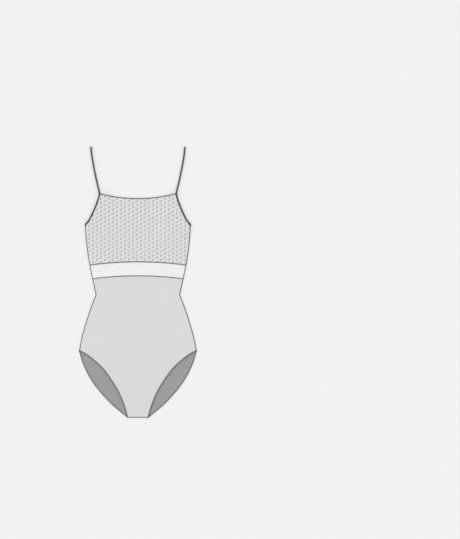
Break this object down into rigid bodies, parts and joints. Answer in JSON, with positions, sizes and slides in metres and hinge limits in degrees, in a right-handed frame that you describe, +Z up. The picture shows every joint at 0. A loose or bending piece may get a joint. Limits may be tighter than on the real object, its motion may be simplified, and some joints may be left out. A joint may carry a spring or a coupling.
{
  "type": "ballet leotard laid flat",
  "caption": "Camisole ballet leotard laid flat, front up, with dashed mesh bodice, sheer net band, plain jersey brief and thin elastic straps.",
  "frame": {"origin": "middle of the garment's outline, on the surface that it lies on", "axes": "+Y towards the neck, +X towards the wearer's left, +Z up from the surface, out of the front"},
  "size_m": [0.294, 0.6762, 0.0046],
  "materials": {
    "jersey": "matt fine-knit stretch jersey, pale grey, darker grey inside",
    "mesh": "stretch mesh with rows of short slanted grey floats",
    "back_mesh": "off-white stretch mesh with faint slanted floats, unlined",
    "lining": "matt grey lining jersey",
    "net": "sheer off-white square net",
    "charcoal_elastic": "matt ribbed elastic, charcoal",
    "grey_elastic": "matt ribbed elastic, mid grey"
  },
  "bodies": {
    "root": {"back_bodice": "back_mesh", "back_band": "net", "back_brief": "jersey", "front_lining": "lining", "front_bodice": "mesh", "front_band": "net", "front_brief": "jersey", "front_neck_binding": "grey_elastic", "back_neck_binding": "charcoal_elastic", "strap_left": "charcoal_elastic", "strap_right": "charcoal_elastic", "leg_elastic_front_left": "grey_elastic", "leg_elastic_front_right": "grey_elastic", "leg_elastic_back_left": "grey_elastic", "leg_elastic_back_right": "grey_elastic"}
  },
  "joints": []
}
